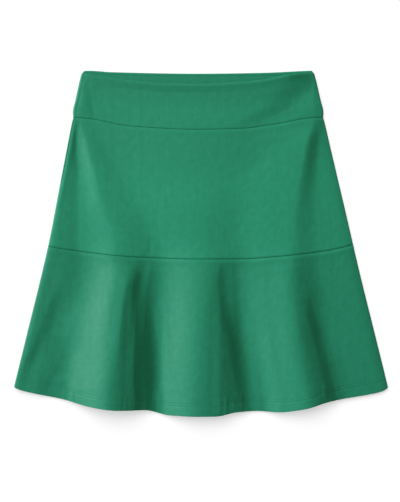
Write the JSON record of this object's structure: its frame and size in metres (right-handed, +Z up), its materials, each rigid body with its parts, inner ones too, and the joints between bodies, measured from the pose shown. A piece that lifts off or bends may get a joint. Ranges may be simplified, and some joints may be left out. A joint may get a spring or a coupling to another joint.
{
  "type": "flounced a-line skirt laid flat",
  "caption": "Woman's A-line skirt with a shaped waistband and a wavy flounce, laid flat on its back, front up, its waist and hem open.",
  "frame": {"origin": "on the surface the skirt lies on, under the middle of its outline", "axes": "+Z up from the surface to the front of the skirt, +Y towards the waist, +X to the right as the front is looked at"},
  "size_m": [0.5682, 0.5244, 0.0256],
  "materials": {
    "green_jersey": "firm double-knit jersey in one plain green, matt with a faint sheen on the folds"
  },
  "bodies": {
    "root": {"front_band": "green_jersey", "back_band": "green_jersey", "front_panel": "green_jersey", "back_panel": "green_jersey", "front_flounce": "green_jersey", "back_flounce": "green_jersey"}
  },
  "joints": []
}
